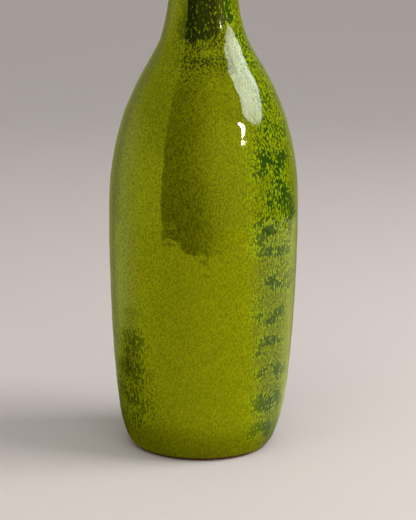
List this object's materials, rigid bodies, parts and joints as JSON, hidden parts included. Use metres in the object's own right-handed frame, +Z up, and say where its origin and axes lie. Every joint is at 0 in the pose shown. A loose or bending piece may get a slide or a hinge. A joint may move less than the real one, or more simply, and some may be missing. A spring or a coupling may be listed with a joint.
{
  "type": "sake bottle",
  "caption": "Tall glazed stoneware sake bottle with a soft shoulder, narrow neck, small flared mouth and a bare clay foot ring.",
  "frame": {"origin": "centre of the foot ring, on the surface the bottle stands on", "axes": "+Z up along the bottle's turning axis, -Y towards the front, +X to the right seen from the front"},
  "size_m": [0.0722, 0.0722, 0.2035],
  "materials": {
    "red_clay": "bare iron-red stoneware, matt, lightly ribbed by the turning tool",
    "green_glaze": "glossy yellow-green glaze with fine dark green speckle that gathers in soft bands",
    "liner_glaze": "thinner glossy green glaze inside",
    "base_glaze": "glossy green glaze pooled in the hollow under the foot"
  },
  "bodies": {
    "root": {"clay_body": "red_clay", "outer_glaze": "green_glaze", "liner_glaze": "liner_glaze", "base_glaze": "base_glaze"}
  },
  "joints": []
}
